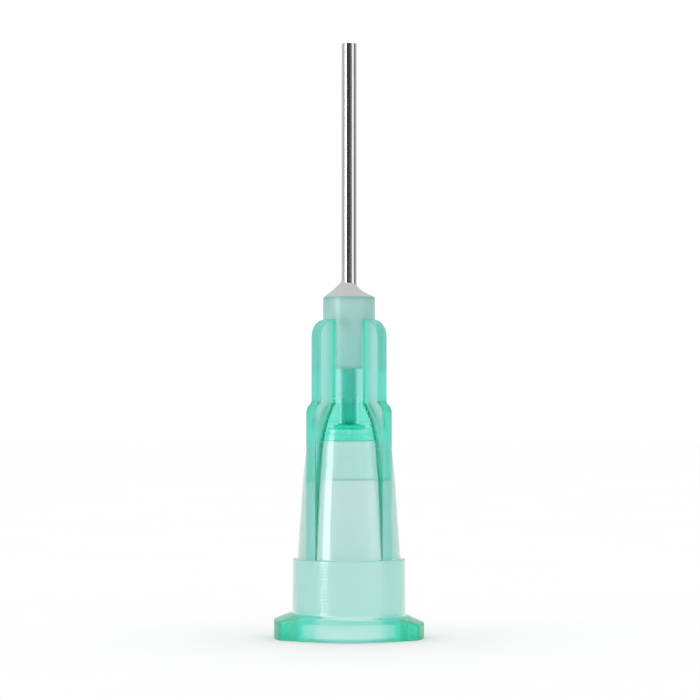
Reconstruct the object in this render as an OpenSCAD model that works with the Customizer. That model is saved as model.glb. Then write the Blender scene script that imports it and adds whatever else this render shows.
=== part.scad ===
// Blunt dispensing needle tip, in millimetres.
// A moulded hub with a female luer-lock socket carries a straight steel cannula, and adhesive in a well
// in the hub's nose bonds the two. It stands on the socket's mouth, with the cannula pointing up.

/* [Cannula] */
// Outside diameter of the steel tube
cannula_od = 0.8; // [0.6:0.05:1]
// Wall of the steel tube
cannula_wall = 0.145; // [0.08:0.005:0.2]
// How far the tube stands out of the nose's rim
cannula_reach = 13.2; // [6:0.1:38]
// Gap all round between the tube and its bore in the hub
cannula_fit = 0.01; // [0.005:0.005:0.03]

/* [Luer socket] */
// Diameter of the socket at its mouth
mouth_d = 4.3; // [4.27:0.005:4.32]
// Loss of diameter for each unit of depth
luer_taper = 0.06; // [0.05:0.005:0.07]
// Depth of the tapered socket, up to the ring where the wall thickens
socket_depth = 8.23; // [7.5:0.01:9]
// Round on the mouth's inner edge
mouth_round = 0.12; // [0.05:0.01:0.2]
// Diameter of the chamber above the taper
chamber_d = 2.9; // [2.2:0.05:3.3]
// Height of the chamber
chamber_h = 1.97; // [1.2:0.01:3]
// Draft of the chamber's wall in degrees
chamber_draft = 1; // [0.5:0.1:3]
// Height of the throat between the chamber and the tube's seat
throat_h = 0.7; // [0.3:0.05:1.2]

/* [Body] */
// Height of the collar above the mouth
collar_h = 4.12; // [3:0.01:5]
// Diameter of the collar at its top
collar_d = 5.83; // [5.7:0.01:6.1]
// Draft of the collar's wall in degrees
collar_draft = 0.6; // [0:0.1:1]
// Round on the collar's upper edge
collar_round = 0.07; // [0.02:0.01:0.08]
// Diameter of the body where it leaves the collar
skirt_d = 5.36; // [5:0.01:5.5]
// Fillet between the body and the collar's ledge
skirt_fillet = 0.06; // [0.02:0.01:0.1]
// Diameter of the body at the ring
ring_d = 4.8; // [4.6:0.01:5]
// Diameter of the body at the foot of the shoulder
shoulder_d = 4.34; // [4:0.01:4.5]
// Height of the domed shoulder
shoulder_h = 1.95; // [1.4:0.01:2.6]
// How far the shoulder bulges from a straight slope
shoulder_bulge = 0.11; // [0.04:0.01:0.16]

/* [Nose] */
// Height of the nose above the shoulder
nose_h = 5.54; // [4.5:0.01:7]
// Diameter of the nose at its rim
nose_d = 2.7; // [2.4:0.01:3]
// Draft of the nose's wall in degrees
nose_draft = 0.25; // [0:0.05:0.6]
// Round on the rim's outer edge
rim_round = 0.05; // [0.02:0.01:0.08]
// Depth of the adhesive well
well_depth = 3.72; // [2:0.01:4.5]
// Diameter of the well at the rim
well_d = 1.9; // [1.5:0.05:2.1]
// Diameter of the well at its floor
well_floor_d = 1.4; // [1.1:0.05:1.5]

/* [Fins] */
// Number of fins round the body
fin_count = 4; // [2:1:8]
// Turn of the first fin from the lugs' line in degrees
fin_turn = 45; // [30:1:60]
// Thickness of a fin
fin_t = 0.7; // [0.4:0.01:0.9]
// Diameter over the lower fins
fin_low_d = 5.59; // [5.4:0.01:5.7]
// Diameter over the upper fins
fin_high_d = 4.84; // [4.3:0.01:5]
// Distance from the fins' tops to the rim
fin_drop = 1.2; // [0.6:0.01:2]
// Round on the fins' upper corners
fin_corner = 0.9; // [0.2:0.01:1]
// Height over which the lower fins round in to the upper ones
fin_step_h = 0.65; // [0.4:0.01:1]
// How far that step starts above the shoulder
fin_step_rise = 0.15; // [0:0.01:0.4]
// Fillet at the top of that step
fin_fillet = 0.2; // [0.1:0.01:0.4]

/* [Lock flange] */
// Span over the two lugs
lug_span = 7.8; // [7.5:0.01:7.83]
// Width of a lug across its end
lug_width = 3.22; // [2.8:0.01:3.6]
// Diameter of the flange between the lugs
flange_d = 6.44; // [6.2:0.01:6.7]
// Height of the flange at the lugs' ends
lug_edge_h = 0.88; // [0.6:0.01:1.1]
// Fall of the flange's upper face towards its edge in degrees
lug_slope = 23; // [10:1:30]
// Tilt of the whole upper face, down towards +X, in degrees
lug_tilt = 1.4; // [0:0.1:2]
// Chamfer on the lower edge of the lugs' ends
lug_chamfer = 0.08; // [0.03:0.01:0.15]

/* [Adhesive] */
// Distance from the bead's foot to the round on the rim
bead_inset = 0.01; // [0.005:0.005:0.2]
// Height that the bead climbs up the tube
bead_h = 0.76; // [0.3:0.01:1.5]
// How far the bead's slope is hollowed
bead_hollow = 0.13; // [0.04:0.01:0.15]

/* [Hidden] */
$fn = 96;
arc_steps = 10;
// Overshoot that keeps a cut clear of the face it opens
over = 0.5;

// Levels up the hub
ring_z = socket_depth;
ceiling_z = ring_z + chamber_h;
seat_z = ceiling_z + throat_h;
nose_z = ceiling_z + shoulder_h;
rim_z = nose_z + nose_h;
well_z = rim_z - well_depth;
fin_top_z = rim_z - fin_drop;
tip_z = rim_z + cannula_reach;

// Radii that follow from the sizes above
cannula_r = cannula_od / 2;
cannula_bore_r = cannula_r - cannula_wall;
mouth_r = mouth_d / 2;
ring_socket_r = mouth_r - luer_taper * socket_depth / 2;
chamber_r = chamber_d / 2;
ceiling_r = chamber_r - chamber_h * tan(chamber_draft);
collar_r = collar_d / 2;
collar_foot_r = collar_r + collar_h * tan(collar_draft);
nose_r = nose_d / 2;
nose_foot_r = nose_r + nose_h * tan(nose_draft);
flange_r = flange_d / 2;
lug_r = lug_span / 2;
bead_r = nose_r - rim_round - bead_inset;

// Points along an arc from a to b that bulges to the left of the way from a to b, without a itself
function arc(a, b, bulge) =
    let (
        half = norm(b - a) / 2,
        r = (half * half + bulge * bulge) / (2 * bulge),
        along = (b - a) / (2 * half),
        left = [-along[1], along[0]],
        sweep = asin(half / r)
    )
    [for (i = [1:arc_steps])
        let (t = sweep * (2 * i / arc_steps - 1))
        (a + b) / 2 + along * r * sin(t) + left * (r * cos(t) - r + bulge)];

// Bulge of an arc of radius r that turns by an angle
function sagitta(r, turn) = r * (1 - cos(turn / 2));

// Bulge of a quarter round of radius r
function quarter(r) = sagitta(r, 90);

// Half section of the hub's turned body, from the axis out and up
module body_section() {
    polygon(concat(
        [[0, 0], [collar_foot_r, 0], [collar_r, collar_h - collar_round]],
        arc([collar_r, collar_h - collar_round], [collar_r - collar_round, collar_h], -quarter(collar_round)),
        [[skirt_d / 2 + skirt_fillet, collar_h]],
        arc([skirt_d / 2 + skirt_fillet, collar_h], [skirt_d / 2, collar_h + skirt_fillet],
            quarter(skirt_fillet)),
        [[ring_d / 2, ring_z], [shoulder_d / 2, ceiling_z]],
        arc([shoulder_d / 2, ceiling_z], [nose_foot_r, nose_z], -shoulder_bulge),
        [[nose_r, rim_z - rim_round]],
        arc([nose_r, rim_z - rim_round], [nose_r - rim_round, rim_z], -quarter(rim_round)),
        [[0, rim_z]]));
}

// Outline of one fin in its own plane, from the axis out and up
module fin_section() {
    low_r = fin_low_d / 2;
    high_r = fin_high_d / 2;
    // The step is a round and a fillet that both turn by the same angle and meet on a tangent
    turn = 2 * atan((low_r - high_r) / fin_step_h);
    round_r = fin_step_h / sin(turn) - fin_fillet;
    step_z = nose_z + fin_step_rise;
    step_foot = [low_r, step_z - fin_step_h];
    meet = step_foot + round_r * [cos(turn) - 1, sin(turn)];
    polygon(concat(
        [[0, collar_h - over], [low_r, collar_h - over], step_foot],
        arc(step_foot, meet, -sagitta(round_r, turn)),
        arc(meet, [high_r, step_z], sagitta(fin_fillet, turn)),
        [[high_r, fin_top_z - fin_corner]],
        arc([high_r, fin_top_z - fin_corner], [high_r - fin_corner, fin_top_z], -quarter(fin_corner)),
        [[0, fin_top_z]]));
}

// All the fins, each a plate on the hub's axis that reaches out on one side
module fins() {
    for (i = [0:fin_count - 1])
        rotate([0, 0, fin_turn + i * 360 / fin_count])
            rotate([90, 0, 0])
                linear_extrude(height = fin_t, center = true)
                    fin_section();
}

// Outline of the lock flange before its ends are turned: a disc with two arms that run off it along tangents
module flange_outline() {
    corner = [sqrt(lug_r * lug_r - lug_width * lug_width / 4), lug_width / 2];
    touch_angle = atan2(corner[1], corner[0]) + acos(flange_r / lug_r);
    touch = flange_r * [cos(touch_angle), sin(touch_angle)];
    end_x = lug_r + over;
    circle(r = flange_r);
    for (side = [-1, 1])
        polygon([
            [0, -flange_r / 2], [side * touch[0], -touch[1]], [side * corner[0], -corner[1]],
            [side * end_x, -corner[1]], [side * end_x, corner[1]],
            [side * corner[0], corner[1]], [side * touch[0], touch[1]], [0, flange_r / 2]]);
}

// The flange: its outline, the round ends of the lugs with their chamfer, and the sloping upper face
module lock_flange() {
    peak_h = lug_edge_h + lug_r * tan(lug_slope);
    intersection() {
        linear_extrude(height = peak_h)
            flange_outline();
        rotate_extrude()
            polygon([[0, 0], [lug_r - lug_chamfer, 0], [lug_r, lug_chamfer], [lug_r, peak_h], [0, peak_h]]);
        rotate([0, lug_tilt, 0])
            translate([0, 0, -over])
                rotate_extrude()
                    polygon([
                        [0, -over], [lug_r + over, -over],
                        [lug_r + over, lug_edge_h + over - over * tan(lug_slope)],
                        [0, peak_h + over]]);
    }
}

// Everything that opens from the mouth: tapered socket, chamber and throat
module socket_section() {
    polygon(concat(
        [[0, -over], [mouth_r + mouth_round, -over], [mouth_r + mouth_round, 0]],
        arc([mouth_r + mouth_round, 0], [mouth_r - luer_taper * mouth_round / 2, mouth_round],
            quarter(mouth_round)),
        [[ring_socket_r, ring_z], [chamber_r, ring_z], [ceiling_r, ceiling_z],
         [cannula_bore_r, ceiling_z], [cannula_bore_r, seat_z + over], [0, seat_z + over]]));
}

// Everything that opens from the rim: adhesive well and the tube's bore down to its seat
module well_section() {
    bore_r = cannula_r + cannula_fit;
    polygon([
        [0, seat_z], [bore_r, seat_z], [bore_r, well_z], [well_floor_d / 2, well_z],
        [well_d / 2, rim_z], [well_d / 2, rim_z + over], [0, rim_z + over]]);
}

module hub() {
    color([0.35, 0.82, 0.7, 0.7])
        difference() {
            union() {
                rotate_extrude()
                    body_section();
                fins();
                lock_flange();
            }
            rotate_extrude()
                socket_section();
            rotate_extrude()
                well_section();
        }
}

module cannula() {
    color([0.72, 0.71, 0.71])
        translate([0, 0, seat_z])
            difference() {
                cylinder(r = cannula_r, h = tip_z - seat_z);
                translate([0, 0, -over])
                    cylinder(r = cannula_bore_r, h = tip_z - seat_z + 2 * over);
            }
}

// Adhesive that fills the well and climbs the tube in a hollow cone
module adhesive() {
    color([0.8, 0.78, 0.8])
        rotate_extrude()
            polygon(concat(
                [[cannula_r, well_z], [well_floor_d / 2, well_z], [well_d / 2, rim_z], [bead_r, rim_z]],
                arc([bead_r, rim_z], [cannula_r, rim_z + bead_h], bead_hollow)));
}

hub();
cannula();
adhesive();
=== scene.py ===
"""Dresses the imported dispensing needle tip: a moulded clear green hub, a drawn steel tube and adhesive."""

import math

import bmesh
import bpy
import numpy as np
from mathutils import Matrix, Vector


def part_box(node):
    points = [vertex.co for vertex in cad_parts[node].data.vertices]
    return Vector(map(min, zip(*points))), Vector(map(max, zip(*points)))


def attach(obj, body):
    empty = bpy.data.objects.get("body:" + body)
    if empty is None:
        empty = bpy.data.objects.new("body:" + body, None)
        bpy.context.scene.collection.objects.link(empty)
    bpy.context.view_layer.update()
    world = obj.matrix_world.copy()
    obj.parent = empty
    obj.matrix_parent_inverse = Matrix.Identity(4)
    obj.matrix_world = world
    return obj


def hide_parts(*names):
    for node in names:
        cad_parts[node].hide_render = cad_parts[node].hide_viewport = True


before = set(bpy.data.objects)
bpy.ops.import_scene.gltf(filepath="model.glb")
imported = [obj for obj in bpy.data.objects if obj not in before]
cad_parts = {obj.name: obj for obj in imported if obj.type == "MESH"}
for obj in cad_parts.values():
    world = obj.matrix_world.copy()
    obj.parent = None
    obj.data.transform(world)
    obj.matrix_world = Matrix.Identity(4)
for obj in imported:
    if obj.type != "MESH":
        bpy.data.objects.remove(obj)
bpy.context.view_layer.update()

# Sizes are in millimetres until a mesh is made
MM = 0.001


def levels(node):
    """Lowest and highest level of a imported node, in millimetres."""
    low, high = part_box(node)
    return low.z / MM, high.z / MM


# ---------------------------------------------------------------------------------------------- sizes

RIM_Z = levels("hub")[1]
SEAT_Z, TIP_Z = levels("cannula")
WELL_Z, BEAD_TOP_Z = levels("adhesive")

CANNULA_R, CANNULA_BORE_R = 0.4, 0.255
CANNULA_EDGE, CANNULA_PLAY = 0.02, 0.01
CANNULA_ANGLES = np.arange(144) * 2.5

MOUTH_R, MOUTH_ROUND = 2.15, 0.12
LUER_TAPER = 0.06
CEILING_Z = SEAT_Z - 0.7
RING_Z = CEILING_Z - 1.97
RING_SOCKET_R = MOUTH_R - LUER_TAPER * RING_Z / 2
CHAMBER_R, CEILING_R, RING_ROUND = 1.45, 1.416, 0.06
# A shallow hollow round the tube's foot, which is painted deep green, a painted shade, and shows as a dark
# bar under the tube
RELIEF_R, RELIEF_H = 0.87, 0.22
# The round on the small inner edges
INNER_ROUND = 0.03
WELL_R, WELL_FLOOR_R = 0.95, 0.7

COLLAR_H, COLLAR_R, COLLAR_ROUND, COLLAR_DRAFT = 4.12, 2.915, 0.07, 0.6
COLLAR_FOOT_Z = 1.3
SKIRT_R, SKIRT_FILLET = 2.68, 0.06
RING_R, SHOULDER_R = 2.4, 2.17
NOSE_Z = CEILING_Z + 1.95
SHOULDER_BULGE = 0.11
NOSE_FOOT_R, NOSE_R, RIM_ROUND = 1.374, 1.35, 0.05

FIN_COUNT, FIN_HALF = 4, 0.35
FIN_LOW_R, FIN_HIGH_R = 2.795, 2.42
FIN_TOP_Z = RIM_Z - 1.2
FIN_CORNER, FIN_STEP_H, FIN_STEP_RISE, FIN_FILLET = 0.9, 0.65, 0.15, 0.2
FIN_EDGE_ROUND, FIN_ROOT_FILLET = 0.06, 0.07

LUG_R, FLANGE_R, LUG_HALF = 3.898, 3.22, 1.61
LUG_EDGE_H, LUG_SLOPE, LUG_TILT = 0.88, math.radians(23), math.radians(1.4)
FLANGE_ROUND, FLANGE_FILLET = 0.07, 0.08
# Where the flange's straight flanks touch its disc and where they meet the lugs' ends, from the lugs' line
LUG_CORNER = math.degrees(math.asin(LUG_HALF / LUG_R))
FLANK_TOUCH = LUG_CORNER + math.degrees(math.acos(FLANGE_R / LUG_R))

BEAD_FOOT_R = 1.3
# How far solids that are bonded run into each other, so that no film of air shows between them
BOND = 0.004
# How near, in metres, the edges of two meshes are when they are one edge
WELD = 0.0003 * MM

# ---------------------------------------------------------------------------------- outlines and rows


def arc(centre, radius, start, end, steps):
    """Points (r, z) along an arc, in degrees, without its first one."""
    turns = [math.radians(start + (end - start) * k / steps) for k in range(1, steps + 1)]
    return [(centre[0] + radius * math.cos(t), centre[1] + radius * math.sin(t)) for t in turns]


def line(start, end, steps):
    """Points evenly along a line, without its first one."""
    return [tuple(a + (b - a) * k / steps for a, b in zip(start, end)) for k in range(1, steps + 1)]


def blend(a, b, share):
    """From a to b with a soft start and end."""
    soft = share * share * (3 - 2 * share)
    return a + (b - a) * soft


def turned(angles, radius, height):
    """A row of points round the axis. Angles are in degrees, and radius and height are one value or a row."""
    turns = np.radians(angles)
    return np.stack([radius * np.cos(turns), radius * np.sin(turns), height + 0 * turns], axis=-1)


# Columns of half a bay: from the middle of a fin's edge to the middle of the gap beside it
EDGE_STEPS, ROUND_STEPS, SIDE_STEPS, ROOT_STEPS, BODY_STEPS = 3, 4, 6, 5, 20
HALF_BAY = EDGE_STEPS + ROUND_STEPS + SIDE_STEPS + ROOT_STEPS + BODY_STEPS
COLUMNS = 2 * HALF_BAY * FIN_COUNT
BAY = 360 / FIN_COUNT


def half_bay(body_r, body_z, edge, normal):
    """One row of half a bay in the fin's own frame: along the fin, across it and up.
    edge is the place of the fin's outline at this row, and normal the way that the outline faces."""
    edge_u, edge_z = edge
    room = max(edge_u - math.sqrt(body_r**2 - FIN_HALF**2), 0)
    edge_round = min(FIN_EDGE_ROUND, 0.3 * room)
    root = min(FIN_ROOT_FILLET, 0.3 * room)
    row = [(edge_u, (FIN_HALF - edge_round) * k / EDGE_STEPS, edge_z) for k in range(EDGE_STEPS)]
    for k in range(ROUND_STEPS + 1):
        turn = math.pi / 2 * k / ROUND_STEPS
        inset = edge_round * (1 - math.cos(turn))
        across = FIN_HALF - edge_round + edge_round * math.sin(turn)
        row.append((edge_u - normal[0] * inset, across, edge_z - normal[1] * inset))
    root_u = math.sqrt((body_r + root) ** 2 - (FIN_HALF + root) ** 2)
    row += line(row[-1], (root_u, FIN_HALF, body_z), SIDE_STEPS)
    root_turn = math.degrees(math.atan2(FIN_HALF + root, root_u))
    row += [(u, v, body_z) for u, v in arc((root_u, FIN_HALF + root), root, -90, root_turn - 180, ROOT_STEPS)]
    for k in range(1, BODY_STEPS + 1):
        turn = math.radians(root_turn + (BAY / 2 - root_turn) * k / BODY_STEPS)
        row.append((body_r * math.cos(turn), body_r * math.sin(turn), body_z))
    return np.array(row)


def on_circle(row, radius, z):
    """A row's columns moved on to a circle, at the angles that they have."""
    turns = np.arctan2(row[:, 1], row[:, 0])
    return np.stack([radius * np.cos(turns), radius * np.sin(turns), z + 0 * turns], axis=-1)


def whole_bay(half):
    """A half bay and its mirror image, as one row from gap to gap."""
    mirrored = half[::-1] * (1, -1, 1)
    return np.concatenate([mirrored, half[1:]])


def whole_turn(half):
    """A half bay repeated all round, as one closed row."""
    bay = whole_bay(half)[:-1]
    rows = []
    for k in range(FIN_COUNT):
        turn = math.radians(BAY * (k + 0.5))
        c, s = math.cos(turn), math.sin(turn)
        rows.append(bay @ np.array([[c, s, 0], [-s, c, 0], [0, 0, 1]]))
    return np.concatenate(rows)


def row_angles(row):
    """Angles of a closed row's points, rising from 0 to 360."""
    angles = np.degrees(np.arctan2(row[:, 1], row[:, 0])) % 360
    if row[0, 1] < 0:
        angles[0] -= 360
    return angles


EVEN_ANGLES = np.arange(COLUMNS) * 360 / COLUMNS


def flange_angles():
    """Column angles that crowd at the lugs' corners."""
    quarter = COLUMNS // 4
    first, last = 17, 23
    crowd = 1.5
    marks = [0, first, last, quarter]
    places = [0, LUG_CORNER - crowd, LUG_CORNER + crowd, 90]
    one = np.interp(np.arange(quarter), marks, places)
    back = 180 - np.interp(np.arange(quarter, 0, -1), marks, places)
    return np.concatenate([one, back, one + 180, back + 180])


def flange_radius(angles):
    """Outline of the lock flange: a disc with two lugs, whose corners are slightly rounded."""
    corner_soft = 0.02
    folded = np.minimum(np.abs((angles + 90) % 180 - 90), FLANK_TOUCH)
    flank = FLANGE_R / np.cos(np.radians(folded - FLANK_TOUCH))
    return -corner_soft * np.log(np.exp(-flank / corner_soft) + math.exp(-LUG_R / corner_soft))


def flange_top(angles, radius):
    """Height of the flange's upper face, which falls outward and tilts a little towards +X."""
    fall = (LUG_R - radius) * math.tan(LUG_SLOPE)
    return LUG_EDGE_H + fall - radius * np.cos(np.radians(angles)) * math.tan(LUG_TILT)


def collar_radius(z):
    """Radius of the collar, which widens downward."""
    return COLLAR_R + (COLLAR_H - z) * math.tan(math.radians(COLLAR_DRAFT))


def shoulder_arc():
    """Centre, radius and end angles of the domed shoulder."""
    low, high = np.array([SHOULDER_R, CEILING_Z]), np.array([NOSE_FOOT_R, NOSE_Z])
    half = np.linalg.norm(high - low) / 2
    radius = (half**2 + SHOULDER_BULGE**2) / (2 * SHOULDER_BULGE)
    along = (high - low) / (2 * half)
    outward = np.array([along[1], -along[0]])
    centre = (low + high) / 2 - outward * (radius - SHOULDER_BULGE)
    start, end = (math.degrees(math.atan2(*(p - centre)[::-1])) for p in (low, high))
    return centre, radius, start, end


def fin_reach(z):
    """Outer radius of a fin below its top corner, at a height."""
    step = FIN_LOW_R - FIN_HIGH_R
    turn = 2 * math.atan(step / FIN_STEP_H)
    low_round = FIN_STEP_H / math.sin(turn) - FIN_FILLET
    head = NOSE_Z + FIN_STEP_RISE
    foot = head - FIN_STEP_H
    if z <= foot:
        return FIN_LOW_R
    if z >= head:
        return FIN_HIGH_R
    if z <= foot + low_round * math.sin(turn):
        return FIN_LOW_R - low_round + math.sqrt(low_round**2 - (z - foot) ** 2)
    return FIN_HIGH_R + FIN_FILLET - math.sqrt(FIN_FILLET**2 - (head - z) ** 2)


# ------------------------------------------------------------------------------------------ hub's rows


def finned_rows():
    """Half-bay rows from the collar's ledge up to the nose above the fins."""
    edge_r = COLLAR_R - COLLAR_ROUND
    ledge = line((edge_r, COLLAR_H), (SKIRT_R + SKIRT_FILLET, COLLAR_H), 5)[-2:]
    fillet = arc((SKIRT_R + SKIRT_FILLET, COLLAR_H + SKIRT_FILLET), SKIRT_FILLET, 270, 180, 4)
    body = line(fillet[-1], (RING_R, RING_Z), 22) + line((RING_R, RING_Z), (SHOULDER_R, CEILING_Z), 12)
    shoulder = arc(*shoulder_arc(), 26)
    corner_z = FIN_TOP_Z - FIN_CORNER
    nose_slope = (NOSE_R - NOSE_FOOT_R) / (RIM_Z - NOSE_Z)
    step_z = NOSE_Z + FIN_STEP_RISE
    step = (NOSE_FOOT_R + nose_slope * FIN_STEP_RISE, step_z)
    nose = line((NOSE_FOOT_R, NOSE_Z), step, 5)
    nose += line(step, (NOSE_FOOT_R + nose_slope * (corner_z - NOSE_Z), corner_z), 12)
    rows = [half_bay(r, z, (fin_reach(z), z), (1, 0)) for r, z in ledge + fillet + body + shoulder + nose]
    rows.insert(0, on_circle(rows[0], edge_r, COLLAR_H))

    corner = arc((FIN_HIGH_R - FIN_CORNER, corner_z), FIN_CORNER, 0, 90, 14)
    turns = [math.pi / 2 * (k + 1) / len(corner) for k in range(len(corner))]
    outline = [(place, (math.cos(t), math.sin(t))) for place, t in zip(corner, turns)]
    top_end = NOSE_R + 0.07
    outline += [(place, (0, 1)) for place in line(corner[-1], (top_end, FIN_TOP_Z), 6)]
    body_top = FIN_TOP_Z - FIN_EDGE_ROUND
    for k, (place, normal) in enumerate(outline):
        z = corner_z + (body_top - corner_z) * (k + 1) / len(outline)
        rows.append(half_bay(NOSE_FOOT_R + nose_slope * (z - NOSE_Z), z, place, normal))

    end_z = FIN_TOP_Z + 0.07
    rows.append(on_circle(rows[-1], NOSE_FOOT_R + nose_slope * (end_z - NOSE_Z), end_z))
    return rows


def flange_rows(angles):
    """Rows from the flange's lower edge up its wall and over its sloping face to the collar's foot."""
    outline = flange_radius(angles)
    rows = []
    for k in range(6):
        turn = math.pi / 2 * k / 5
        inset = FLANGE_ROUND * (1 - math.sin(turn))
        rows.append(turned(angles, outline - inset, FLANGE_ROUND * (1 - math.cos(turn))))
    edge_r = outline - FLANGE_ROUND
    edge_z = flange_top(angles, edge_r) - FLANGE_ROUND / math.cos(LUG_SLOPE)
    rows += [turned(angles, outline, FLANGE_ROUND + (edge_z - FLANGE_ROUND) * k / 7) for k in range(1, 8)]
    round_end = math.pi / 2 - LUG_SLOPE
    for k in range(1, 6):
        turn = round_end * k / 5
        radius = edge_r + FLANGE_ROUND * math.cos(turn)
        rows.append(turned(angles, radius, edge_z + FLANGE_ROUND * math.sin(turn)))
    outer_r = edge_r + FLANGE_ROUND * math.cos(round_end)
    foot_r = collar_radius(COLLAR_FOOT_Z)
    inner_r = foot_r + FLANGE_FILLET * (1 - math.sin(LUG_SLOPE))
    for k in range(1, 7):
        radius = outer_r + (inner_r - outer_r) * k / 6
        rows.append(turned(angles, radius, flange_top(angles, radius)))
    hollow_r = foot_r + FLANGE_FILLET
    hollow_z = flange_top(angles, hollow_r) + FLANGE_FILLET / math.cos(LUG_SLOPE)
    start = -math.pi / 2 - LUG_SLOPE
    for k in range(1, 5):
        turn = start + (-math.pi - start) * k / 4
        radius = hollow_r + FLANGE_FILLET * math.cos(turn)
        rows.append(turned(angles, radius, hollow_z + FLANGE_FILLET * math.sin(turn)))
    return rows


def collar_rows(foot, top_angles):
    """Rows up the collar from its foot row, whose columns move over to those of the finned body."""
    steps = 26
    foot_angles, foot_z = row_angles(foot), foot[:, 2]
    top_z = COLLAR_H - COLLAR_ROUND
    rows = []
    for k in range(1, steps + 1):
        z = foot_z + (top_z - foot_z) * k / steps
        rows.append(turned(blend(foot_angles, top_angles, k / steps), collar_radius(z), z))
    for r, z in arc((COLLAR_R - COLLAR_ROUND, top_z), COLLAR_ROUND, 0, 90, 5)[:-1]:
        rows.append(turned(top_angles, r, z))
    return rows


def nose_rows(foot):
    """Rows from the fins' tops up to the rim, whose columns even out on the way."""
    foot_angles, foot_z = row_angles(foot), foot[0, 2]
    top_z = RIM_Z - RIM_ROUND
    steps = 12
    rows = []
    for k in range(1, steps + 1):
        z = foot_z + (top_z - foot_z) * k / steps
        radius = NOSE_R + (NOSE_FOOT_R - NOSE_R) * (RIM_Z - z) / (RIM_Z - NOSE_Z)
        rows.append(turned(blend(foot_angles, EVEN_ANGLES, k / steps), radius, z))
    return rows


def inner_profile():
    """Points (r, z) from the rim's edge down through the well, the bore, the chamber and the socket."""
    small, bore_r, foot_z = INNER_ROUND, CANNULA_R + CANNULA_PLAY, SEAT_Z - RELIEF_H
    path = arc((NOSE_R - RIM_ROUND, RIM_Z - RIM_ROUND), RIM_ROUND, 0, 90, 5)
    path += line(path[-1], (WELL_R + small, RIM_Z), 4)
    path += arc((WELL_R + small, RIM_Z - small), small, 90, 180, 3)
    path += line(path[-1], (WELL_FLOOR_R, WELL_Z + small), 14)
    path += arc((WELL_FLOOR_R - small, WELL_Z + small), small, 0, -90, 3)
    path += line(path[-1], (bore_r + small, WELL_Z), 3)
    path += arc((bore_r + small, WELL_Z - small), small, 90, 180, 3)
    path += line(path[-1], (bore_r, SEAT_Z), 12)
    path += line(path[-1], (RELIEF_R, SEAT_Z), 3)
    path += line(path[-1], (RELIEF_R, foot_z), 3)
    path += line(path[-1], (CANNULA_BORE_R, foot_z), 4)
    path += line(path[-1], (CANNULA_BORE_R, CEILING_Z + small), 5)
    path += arc((CANNULA_BORE_R + small, CEILING_Z + small), small, 180, 270, 3)
    path += line(path[-1], (CEILING_R - 2 * small, CEILING_Z), 6)
    path += arc((CEILING_R - 2 * small, CEILING_Z - 2 * small), 2 * small, 90, 0, 5)
    path += line(path[-1], (CHAMBER_R, RING_Z + RING_ROUND), 10)
    path += arc((CHAMBER_R + RING_ROUND, RING_Z + RING_ROUND), RING_ROUND, 180, 270, 5)
    path += line(path[-1], (RING_SOCKET_R - RING_ROUND, RING_Z), 5)
    path += arc((RING_SOCKET_R - RING_ROUND, RING_Z - RING_ROUND), RING_ROUND, 90, 0, 5)
    mouth = (MOUTH_R - LUER_TAPER * MOUTH_ROUND / 2, MOUTH_ROUND)
    path += line(path[-1], mouth, 30)
    path += arc((MOUTH_R + MOUTH_ROUND, MOUTH_ROUND), MOUTH_ROUND, 180, 270, 5)
    return path


def mouth_rows(last, angles):
    """Rows across the flat face round the mouth, out to the flange's lower edge."""
    outline = flange_radius(angles) - FLANGE_ROUND
    steps = 7
    rows = []
    for k in range(1, steps):
        share = k / steps
        rows.append(turned(blend(EVEN_ANGLES, angles, share), last[0] + (outline - last[0]) * share, last[1]))
    return rows


# -------------------------------------------------------------------------------------- meshes and trees


def grid_mesh(name, rows, closed_rows=False, closed_columns=True):
    """A mesh in metres through rows of points in millimetres. Rows that climb the outside face outward."""
    points = np.array(rows) * MM
    count, width = points.shape[:2]
    index = np.arange(count * width).reshape(count, width)
    if closed_columns:
        index = np.concatenate([index, index[:, :1]], axis=1)
    if closed_rows:
        index = np.concatenate([index, index[:1]], axis=0)
    quads = np.stack([index[:-1, :-1], index[:-1, 1:], index[1:, 1:], index[1:, :-1]], axis=-1).reshape(-1, 4)
    mesh = bpy.data.meshes.new(name)
    mesh.from_pydata(points.reshape(-1, 3).tolist(), [], quads.tolist())
    mesh.update()
    return mesh


def piece_from(name, mesh):
    """A piece of the scene that shows a mesh."""
    piece = bpy.data.objects.new(name, mesh)
    bpy.context.scene.collection.objects.link(piece)
    return piece


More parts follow.
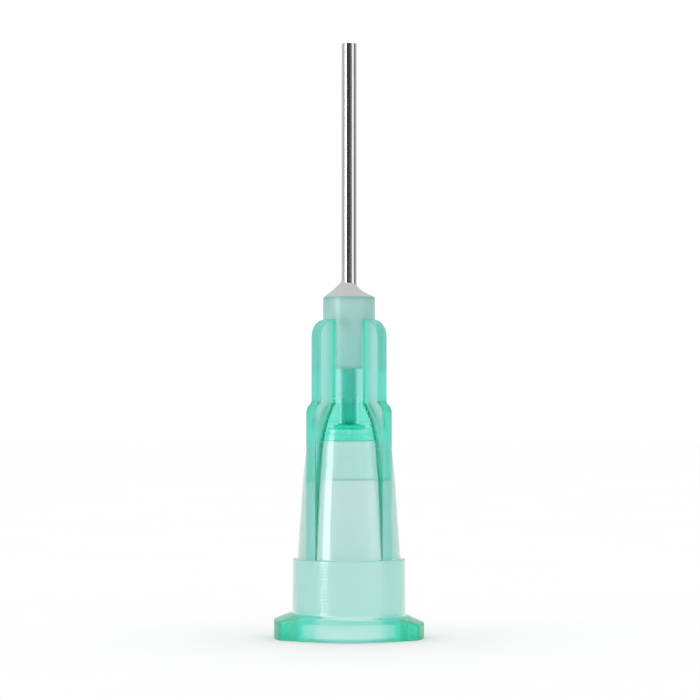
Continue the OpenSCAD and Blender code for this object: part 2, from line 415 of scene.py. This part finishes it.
def tree_of_bays():
    """Geometry nodes that repeat one bay of the hub round its axis and weld the copies into one skin."""
    tree = bpy.data.node_groups.new("bays round the axis", "GeometryNodeTree")
    face = tree.interface
    face.new_socket("Bay", in_out="INPUT", socket_type="NodeSocketGeometry")
    face.new_socket("Bay count", in_out="INPUT", socket_type="NodeSocketInt").default_value = FIN_COUNT
    face.new_socket("First turn", in_out="INPUT", socket_type="NodeSocketFloat")
    face.new_socket("Weld distance", in_out="INPUT", socket_type="NodeSocketFloat")
    face.new_socket("Plastic", in_out="INPUT", socket_type="NodeSocketMaterial")
    face.new_socket("Skin", in_out="OUTPUT", socket_type="NodeSocketGeometry")
    new, link = tree.nodes.new, tree.links.new
    inputs, outputs = new("NodeGroupInput"), new("NodeGroupOutput")
    points = new("GeometryNodeMeshLine")
    points.inputs["Offset"].default_value = (0, 0, 0)
    link(inputs.outputs["Bay count"], points.inputs["Count"])
    share = new("ShaderNodeMath")
    share.operation = "DIVIDE"
    link(new("GeometryNodeInputIndex").outputs[0], share.inputs[0])
    link(inputs.outputs["Bay count"], share.inputs[1])
    turn = new("ShaderNodeMath")
    turn.operation = "MULTIPLY_ADD"
    turn.inputs[1].default_value = math.tau
    link(share.outputs[0], turn.inputs[0])
    link(inputs.outputs["First turn"], turn.inputs[2])
    axis = new("ShaderNodeCombineXYZ")
    link(turn.outputs[0], axis.inputs["Z"])
    rotation = new("FunctionNodeEulerToRotation")
    link(axis.outputs[0], rotation.inputs[0])
    copies = new("GeometryNodeInstanceOnPoints")
    link(points.outputs[0], copies.inputs["Points"])
    link(inputs.outputs["Bay"], copies.inputs["Instance"])
    link(rotation.outputs[0], copies.inputs["Rotation"])
    real = new("GeometryNodeRealizeInstances")
    link(copies.outputs[0], real.inputs[0])
    weld = new("GeometryNodeMergeByDistance")
    link(real.outputs[0], weld.inputs["Geometry"])
    link(inputs.outputs["Weld distance"], weld.inputs["Distance"])
    finish = new("GeometryNodeSetMaterial")
    link(weld.outputs[0], finish.inputs["Geometry"])
    link(inputs.outputs["Plastic"], finish.inputs["Material"])
    link(finish.outputs[0], outputs.inputs[0])
    return tree


def repeated(name, mesh, tree, values):
    """The plain mesh that a tree makes of one mesh, with its inputs set by name."""
    source = piece_from(name, mesh)
    modifier = source.modifiers.new(name, "NODES")
    modifier.node_group = tree
    for item in tree.interface.items_tree:
        if item.in_out == "INPUT" and item.name in values:
            modifier[item.identifier] = values[item.name]
    bpy.context.view_layer.update()
    made = bpy.data.meshes.new_from_object(source.evaluated_get(bpy.context.evaluated_depsgraph_get()))
    source.modifiers.remove(modifier)
    bpy.data.objects.remove(source)
    return made


def welded(name, meshes, material):
    """One smooth closed mesh from meshes that share their edges."""
    whole = bmesh.new()
    for mesh in meshes:
        whole.from_mesh(mesh)
        bpy.data.meshes.remove(mesh)
    bmesh.ops.remove_doubles(whole, verts=whole.verts, dist=WELD)
    bmesh.ops.recalc_face_normals(whole, faces=whole.faces)
    open_edges = sum(not edge.is_manifold for edge in whole.edges)
    if open_edges:
        raise RuntimeError(f"{name} has {open_edges} open edges")
    mesh = bpy.data.meshes.new(name)
    whole.to_mesh(mesh)
    whole.free()
    mesh.materials.clear()
    mesh.materials.append(material)
    mesh.polygons.foreach_set("material_index", [0] * len(mesh.polygons))
    mesh.shade_smooth()
    return mesh


# ---------------------------------------------------------------------------------------------- materials


# How far the levels and the widths that materials follow run, in millimetres
LEVEL_SPAN, WIDTH_SPAN = 20, 4
# A wave texture's turns, in radians, for each unit of its scale
WAVE_RATE = 20


class Graph:
    """The nodes of one material or world, with the few kinds of node that they share."""

    def __init__(self, tree):
        self.nodes, self.links = tree.nodes, tree.links

    def add(self, kind):
        return self.nodes.new("ShaderNode" + kind)

    def link(self, socket, target):
        self.links.new(socket, target)

    def place(self, coordinates="Object"):
        """The three coordinates of a point."""
        place, split = self.add("TexCoord"), self.add("SeparateXYZ")
        self.link(place.outputs[coordinates], split.inputs[0])
        return split.outputs

    def stretched(self, scale):
        """Object coordinates, stretched by a scale for each axis."""
        place, mapping = self.add("TexCoord"), self.add("Mapping")
        mapping.inputs["Scale"].default_value = scale
        self.link(place.outputs["Object"], mapping.inputs["Vector"])
        return mapping.outputs["Vector"]

    def noise(self, stretch, scale, detail=3.0, roughness=0.5):
        """Noise on stretched object coordinates."""
        noise = self.add("TexNoise")
        noise.inputs["Scale"].default_value = scale
        noise.inputs["Detail"].default_value = detail
        noise.inputs["Roughness"].default_value = roughness
        self.link(self.stretched(stretch), noise.inputs["Vector"])
        return noise.outputs["Fac"]

    def figured(self, operation, first, second, third=0.0):
        """The outcome of a math node on sockets or plain numbers."""
        node = self.add("Math")
        node.operation = operation
        for socket, value in zip(node.inputs, (first, second, third)):
            if isinstance(value, bpy.types.NodeSocket):
                self.link(value, socket)
            else:
                socket.default_value = value
        return node.outputs[0]

    def spread(self, value, low, high, from_low=0.3, from_high=0.7):
        """A value mapped from one range to another."""
        node = self.add("MapRange")
        ends = {"From Min": from_low, "From Max": from_high, "To Min": low, "To Max": high}
        for socket, number in ends.items():
            node.inputs[socket].default_value = number
        self.link(value, node.inputs["Value"])
        return node.outputs["Result"]

    def ramp(self, value, stops):
        """A colour that follows stops of (share, colour) as a value runs from 0 to 1."""
        node = self.add("ValToRGB")
        elements = node.color_ramp.elements
        while len(elements) < len(stops):
            elements.new(0.5)
        for element, (share, colour) in zip(elements, stops):
            element.position, element.color = share, (*colour, 1)
        self.link(value, node.inputs["Fac"])
        return node.outputs["Color"]

    def along(self, value, span, stops):
        """A number that follows stops of (value in mm, number up to 1) as a value runs up to a span in mm."""
        share = self.spread(value, 0, 1, 0, span * MM)
        return self.ramp(share, [(at / span, (number,) * 3) for at, number in stops])

    def mixed(self, share, first, second, blend_type="MIX"):
        """Two colours, each a socket or plain, mixed by a share."""
        node = self.add("MixRGB")
        node.blend_type = blend_type
        self.link(share, node.inputs["Fac"])
        for socket, colour in zip(node.inputs[1:], (first, second)):
            if isinstance(colour, bpy.types.NodeSocket):
                self.link(colour, socket)
            else:
                socket.default_value = (*colour, 1)
        return node.outputs["Color"]

    def bumped(self, height, distance, below=None):
        """A normal that a height in millimetres disturbs, over another normal if one is given."""
        bump = self.add("Bump")
        bump.inputs["Distance"].default_value = distance * MM
        bump.inputs["Strength"].default_value = 1
        self.link(height, bump.inputs["Height"])
        if below is not None:
            self.link(below, bump.inputs["Normal"])
        return bump.outputs["Normal"]


def new_material(name, colour):
    """A material, its graph and the inputs of its shader and output. Plain views show the colour."""
    material = bpy.data.materials.new(name)
    material.use_nodes = True
    material.diffuse_color = (*colour, 1)
    nodes = material.node_tree.nodes
    shader, output = nodes["Principled BSDF"].inputs, nodes["Material Output"].inputs
    return material, Graph(material.node_tree), shader, output


def outer_reach(graph, level):
    """The hub's outer radius between the fins, in metres, at a level: flange, collar, body and dome."""
    flange_foot, edge = 0.14, 0.02
    steps = ((flange_foot - edge, 0), (flange_foot + edge, FLANGE_R), (LUG_EDGE_H - edge, FLANGE_R),
             (LUG_EDGE_H + edge, COLLAR_R), (COLLAR_H, COLLAR_R), (COLLAR_H + edge, SKIRT_R),
             (RING_Z, RING_R), (CEILING_Z, SHOULDER_R), (NOSE_Z, NOSE_FOOT_R))
    share = graph.along(level, LEVEL_SPAN, [(z, r / WIDTH_SPAN) for z, r in steps])
    return graph.spread(share, 0, WIDTH_SPAN * MM, 0, 1)


def green_polypropylene():
    """Clear green plastic, coloured by its depth, with painted shade in deep green on the lugs' lower edge
    and round the tube's foot. Its thin walls are milky and its skin is ridged.
    """
    material, graph, shader, output = new_material("green polypropylene", (0.16, 0.72, 0.56))
    shader["IOR"].default_value = 1.49
    shader["Specular IOR Level"].default_value = 0.15

    across, depthwise, level = graph.place()
    radius = graph.figured("SQRT", graph.figured(
        "ADD", graph.figured("MULTIPLY", across, across), graph.figured("MULTIPLY", depthwise, depthwise)), 0)
    reach = outer_reach(graph, level)
    skin = graph.figured("MULTIPLY", graph.figured("COMPARE", radius, reach, 0.1 * MM),
                         graph.figured("LESS_THAN", level, (CEILING_Z + 0.02) * MM))
    graph.link(skin, shader["Coat Weight"])
    shader["Coat Roughness"].default_value = 0.06
    # The dome is glossier than the rest, so that the forms inside it stay crisp
    dome = graph.figured("LESS_THAN", radius, graph.figured("ADD", reach, 0.25 * MM))
    dome = graph.figured("MULTIPLY", dome, graph.along(level, LEVEL_SPAN, (
        (CEILING_Z, 0), (CEILING_Z + 0.05, 1), (NOSE_Z, 1), (NOSE_Z + 0.4, 0.1))))
    graph.link(graph.spread(dome, 0.3, 0.13, 0, 1), shader["Roughness"])

    # The flange's edge turns from milky to deep green towards the lugs, where light runs along it. Its lower
    # edge there is also painted deep green in streaks, a painted shade
    below = graph.along(level, LEVEL_SPAN, ((LUG_EDGE_H, 1), (LUG_EDGE_H + 0.05, 0)))
    sideways = graph.figured("ABSOLUTE", across, 0)
    lugward = graph.figured("MULTIPLY", graph.along(sideways, WIDTH_SPAN, ((1.6, 0), (2.7, 1))), below)
    milky = graph.figured("MULTIPLY", skin, graph.figured("SUBTRACT", 1, lugward))
    graph.link(graph.spread(milky, 1, 0.82, 0, 1), shader["Transmission Weight"])
    lug = graph.along(sideways, WIDTH_SPAN, ((2.3, 0), (2.75, 1)))
    streaks = graph.noise((1, 1, 0.05), 5000, detail=2)
    streaked = graph.figured("MULTIPLY", lug, graph.spread(streaks, 0.5, 1, 0.4, 0.6))
    # Painted shade: the relief round the tube's foot is painted deep green, for the dark bar there
    near = graph.figured("LESS_THAN", radius, (RELIEF_R + 0.05) * MM)
    beside = graph.figured("COMPARE", level, (SEAT_Z - RELIEF_H / 2) * MM, 0.6 * RELIEF_H * MM)
    foot = graph.figured("MULTIPLY", near, beside)
    painted_light_tint = graph.figured("MULTIPLY_ADD", streaked, below, foot)
    # Base colour: near white, with the painted shade in deep green on the lugs' lower edge and round the
    # tube's foot
    graph.link(graph.mixed(painted_light_tint, (0.97, 0.965, 0.97), (0, 0.93, 0.74)), shader["Base Color"])

    # Turned ridges, over a slight waviness of the whole skin
    ridge_pitch = 0.17
    ridges = graph.add("TexWave")
    ridges.bands_direction = "Z"
    ridges.inputs["Scale"].default_value = math.tau / (WAVE_RATE * ridge_pitch * MM)
    ridges.inputs["Distortion"].default_value = 6
    ridges.inputs["Detail"].default_value = 1
    ridges.inputs["Detail Scale"].default_value = 0.3
    graph.link(graph.stretched((1, 1, 1)), ridges.inputs["Vector"])
    wavy = graph.bumped(graph.noise((1, 1, 0.4), 900, detail=2), 0.006)
    share = graph.along(level, LEVEL_SPAN, (
        (LUG_EDGE_H, 0), (LUG_EDGE_H + 0.1, 0.4), (COLLAR_H, 0.4), (COLLAR_H + 0.1, 0.1), (RING_Z, 0.2),
        (RING_Z + 0.5, 0.8), (CEILING_Z, 0.8), (CEILING_Z + 0.5, 0.4)))
    height = graph.figured("MULTIPLY", ridges.outputs["Fac"], share)
    graph.link(graph.bumped(height, 0.0105, below=wavy), shader["Coat Normal"])
    graph.link(graph.bumped(height, 0.003, below=wavy), shader["Normal"])

    depth = graph.add("VolumeAbsorption")
    depth.inputs["Color"].default_value = (0.0, 0.945, 0.82, 1)
    depth.inputs["Density"].default_value = 460
    graph.link(depth.outputs[0], output["Volume"])
    return material


def drawn_steel():
    """Bright stainless tube with the fine lengthwise streaks that drawing leaves, and a painted reflection in
    green where it stands in the plastic.
    """
    material, graph, shader, _ = new_material("drawn stainless steel", (0.66, 0.65, 0.64))
    shader["Metallic"].default_value = 1
    streaks = graph.noise((1, 1, 0.02), 22000, detail=4, roughness=0.7)
    steel = graph.ramp(streaks, ((0.3, (0.56, 0.54, 0.53)), (0.7, (0.72, 0.70, 0.70))))
    # Painted reflection: what the tube mirrors where it stands in the plastic is painted on its colour,
    # greenest round its lower end
    level = graph.place()["Z"]
    stops = ((SEAT_Z + 0.2, (0.03, 0.62, 0.46)), (SEAT_Z + 0.24, (0.08, 0.6, 0.5)),
             (WELL_Z, (0.12, 0.62, 0.52)))
    painted_light_tint = graph.ramp(graph.spread(level, 0, 1, 0, LEVEL_SPAN * MM), [(z / LEVEL_SPAN, c) for z, c in stops])
    buried = graph.spread(level, 1, 0, (WELL_Z - 0.1) * MM, WELL_Z * MM)
    graph.link(graph.mixed(buried, steel, painted_light_tint), shader["Base Color"])
    graph.link(graph.spread(streaks, 0.08, 0.18), shader["Roughness"])
    graph.link(graph.bumped(streaks, 0.0008), shader["Normal"])
    return material


def cured_adhesive():
    """Whitish-grey epoxy, satin and opaque, clouded in the well. In the well it is painted near white, a
    painted light for what reaches it through the plastic, and above the rim it is greyer.
    """
    material, graph, shader, _ = new_material("cured adhesive", (0.6, 0.57, 0.6))
    level = graph.place()["Z"]
    above = graph.spread(level, 0, 1, (RIM_Z - 0.02) * MM, (RIM_Z + 0.02) * MM)
    # Painted light: near white in the well, where light reaches the plug through the plastic; the epoxy's
    # grey above the rim
    plain = graph.ramp(above, ((0, (0.97, 0.96, 0.97)), (1, (0.52, 0.50, 0.52))))
    patches = graph.spread(graph.noise((1, 1, 0.6), 1100, detail=2), 0, 1, 0.5, 0.66)
    patches = graph.figured("MULTIPLY", patches, graph.figured("SUBTRACT", 1, above))
    graph.link(graph.mixed(patches, plain, (0.82, 0.87, 0.86), "MULTIPLY"), shader["Base Color"])
    grain = graph.noise((1, 1, 1), 1800, detail=4)
    graph.link(graph.spread(grain, 0.5, 0.6), shader["Roughness"])
    graph.link(graph.bumped(grain, 0.02), shader["Normal"])
    return material


PLASTIC, STEEL, EPOXY = green_polypropylene(), drawn_steel(), cured_adhesive()

# ------------------------------------------------------------------------------------------------ pieces


def make_hub():
    """The moulded hub: its finned body is one bay repeated by nodes, and the rest is one turned skin."""
    bays = finned_rows()
    bay = grid_mesh("bay", [whole_bay(half) for half in bays], closed_columns=False)
    finned = repeated("finned body", bay, tree_of_bays(), {
        "Bay count": FIN_COUNT, "First turn": math.pi / FIN_COUNT, "Weld distance": WELD, "Plastic": PLASTIC})
    first, last = whole_turn(bays[0]), whole_turn(bays[-1])
    angles = flange_angles()
    inner = inner_profile()
    rows = nose_rows(last)
    rows = [last] + rows + [turned(EVEN_ANGLES, r, z) for r, z in inner]
    rows += mouth_rows(inner[-1], angles)
    flange = flange_rows(angles)
    rows += flange + collar_rows(flange[-1], row_angles(first)) + [first]
    turned_skin = grid_mesh("turned skin", rows)
    return piece_from("moulded_hub", welded("moulded_hub", [finned, turned_skin], PLASTIC))


def make_cannula():
    """The steel tube, with its cut ends slightly broken."""
    top = TIP_Z - CANNULA_EDGE
    path = [(CANNULA_R, SEAT_Z)] + line((CANNULA_R, SEAT_Z), (CANNULA_R, top), 60)
    path += arc((CANNULA_R - CANNULA_EDGE, top), CANNULA_EDGE, 0, 90, 4)
    path += line(path[-1], (CANNULA_BORE_R + CANNULA_EDGE, TIP_Z), 2)
    path += arc((CANNULA_BORE_R + CANNULA_EDGE, top), CANNULA_EDGE, 90, 180, 4)
    path += line(path[-1], (CANNULA_BORE_R, SEAT_Z), 40)
    path += line(path[-1], (CANNULA_R, SEAT_Z), 2)[:-1]
    mesh = grid_mesh("steel_cannula", [turned(CANNULA_ANGLES, r, z) for r, z in path], closed_rows=True)
    return piece_from("steel_cannula", welded("steel_cannula", [mesh], STEEL))


def make_adhesive():
    """The adhesive: a plug in the well and a bead that climbs the tube higher on one side."""
    angles = CANNULA_ANGLES
    lean = np.cos(np.radians(angles))
    waver = 0.02 * np.cos(np.radians(2 * angles + 40)) + 0.012 * np.cos(np.radians(5 * angles + 10))
    contact_z = BEAD_TOP_Z - 0.01 - 0.1 * lean + waver
    # The larger, the hollower the bead's side
    hollow = 1.48 + 0.23 * lean
    foot_r = BEAD_FOOT_R + 0.4 * waver
    well_r, floor_r, inner_r = WELL_R + BOND, WELL_FLOOR_R + BOND, CANNULA_R - BOND
    foot_z, edge_z = RIM_Z - BOND, RIM_Z + 0.012
    rows = [turned(angles, r, z) for r, z in
            [(inner_r, WELL_Z - BOND)] + line((inner_r, WELL_Z - BOND), (floor_r, WELL_Z - BOND), 3)
            + line((floor_r, WELL_Z - BOND), (well_r, foot_z), 16)]
    rows += [turned(angles, well_r + (foot_r - well_r) * k / 3, foot_z) for k in range(1, 4)]
    steps = 24
    for k in range(1, steps + 1):
        share = (k / steps) ** 1.3
        radius = inner_r + (foot_r - inner_r) * (1 - share) ** hollow
        rows.append(turned(angles, radius, edge_z + (contact_z - edge_z) * share))
    rows += [turned(angles, inner_r - 0.02, contact_z - (contact_z - WELL_Z) * k / 16) for k in range(16)]
    mesh = grid_mesh("epoxy_bead", rows, closed_rows=True)
    return piece_from("epoxy_bead", welded("epoxy_bead", [mesh], EPOXY))


for piece, node, slot in (
    (make_hub(), "hub", "green_polypropylene"),
    (make_cannula(), "cannula", "stainless_tube"),
    (make_adhesive(), "adhesive", "epoxy"),
):
    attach(piece, "root")
    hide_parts(node)

# ------------------------------------------------------------------------------- floor, light and camera


def make_floor():
    """A broad pale floor just under the mouth."""
    reach, gap = 600, 0.01
    mesh = bpy.data.meshes.new("floor")
    whole = bmesh.new()
    bmesh.ops.create_grid(whole, x_segments=8, y_segments=8, size=reach * MM)
    bmesh.ops.translate(whole, verts=whole.verts, vec=(0, 0, -gap * MM))
    whole.to_mesh(mesh)
    whole.free()
    material, graph, shader, _ = new_material("pale floor", (0.9, 0.9, 0.9))
    tint = graph.ramp(graph.noise((1, 1, 1), 60), ((0, (0.90,) * 3), (1, (0.93,) * 3)))
    graph.link(tint, shader["Base Color"])
    shader["Roughness"].default_value = 0.9
    mesh.materials.append(material)
    floor = piece_from("floor", mesh)
    floor.visible_transmission = False


def make_world():
    """Even white light all round. What shines also mirrors a studio that is dark behind the camera."""
    world = bpy.data.worlds.new("studio")
    bpy.context.scene.world = world
    world.use_nodes = True
    world.node_tree.nodes.clear()
    graph = Graph(world.node_tree)
    across, depthwise, _ = graph.place("Generated")
    turn = graph.figured("ARCTAN2", across, graph.figured("MULTIPLY", depthwise, -1))
    # Brightness against the turn from the camera's side, in degrees to the right
    stops = ((-180, 0.95), (-140, 0.95), (-122, 0.9), (-105, 0.65), (-92, 0.65), (-72, 0.8), (-36, 0.06),
             (10, 0.05), (20, 0.15), (38, 0.35), (70, 0.6), (84, 0.2), (98, 0.3), (125, 0.7), (180, 0.95))
    studio_light = graph.ramp(graph.spread(turn, 0, 1, -math.pi, math.pi),
                              [((degrees + 180) / 360, (value,) * 3) for degrees, value in stops])
    studio, white, paper = (graph.add("Background") for _ in range(3))
    graph.link(studio_light, studio.inputs["Color"])
    white.inputs["Color"].default_value = (1, 1, 1, 1)
    white.inputs["Strength"].default_value = 1.12
    paper.inputs["Color"].default_value = (0.95, 0.95, 0.95, 1)

    # White, apart from the studio for what mirrors and the paper for what is seen through the plastic
    path, light = graph.add("LightPath"), white
    for ray, background in (("Is Glossy Ray", studio), ("Is Transmission Ray", paper)):
        either = graph.add("MixShader")
        graph.link(path.outputs[ray], either.inputs["Fac"])
        graph.link(light.outputs[0], either.inputs[1])
        graph.link(background.outputs[0], either.inputs[2])
        light = either
    graph.link(light.outputs[0], graph.add("OutputWorld").inputs["Surface"])


def softbox(name, turn, width, height, level, strength):
    """A soft light for highlights alone. It faces the axis, turned from the camera's side to the right."""
    distance = 180
    data = bpy.data.lights.new(name, "AREA")
    data.shape = "RECTANGLE"
    data.size, data.size_y = width * MM, height * MM
    data.energy = strength * math.pi * data.size * data.size_y
    light = bpy.data.objects.new(name, data)
    bpy.context.scene.collection.objects.link(light)
    angle = math.radians(turn)
    light.location = (distance * MM * math.sin(angle), -distance * MM * math.cos(angle), level * MM)
    light.rotation_euler = (math.pi / 2, 0, angle)
    light.visible_transmission = light.visible_camera = light.visible_diffuse = False


def make_camera():
    """A long lens, a little above the hub's shoulder and aimed a little up at the middle of the part."""
    data = bpy.data.cameras.new("camera")
    data.lens, data.sensor_width = 138.5, 36
    data.clip_start, data.clip_end = 0.001, 10
    camera = bpy.data.objects.new("camera", data)
    bpy.context.scene.collection.objects.link(camera)
    distance, eye_z, aim_z, aim_x = 140, 12.5, 14.93, 0.05
    camera.location = (aim_x * MM, -distance * MM, eye_z * MM)
    camera.rotation_euler = (math.pi / 2 + math.atan((aim_z - eye_z) / distance), 0, 0)
    bpy.context.scene.camera = camera


make_floor()
make_world()
softbox("left softbox", turn=-52, width=54, height=110, level=62, strength=6.5)
softbox("right softbox", turn=60, width=90, height=110, level=62, strength=1)
make_camera()
scene = bpy.context.scene
scene.view_settings.view_transform = "Standard"
# Light that is guided inside the plastic needs many bounces to find its way out
scene.cycles.max_bounces = scene.cycles.transmission_bounces = scene.cycles.glossy_bounces = 32
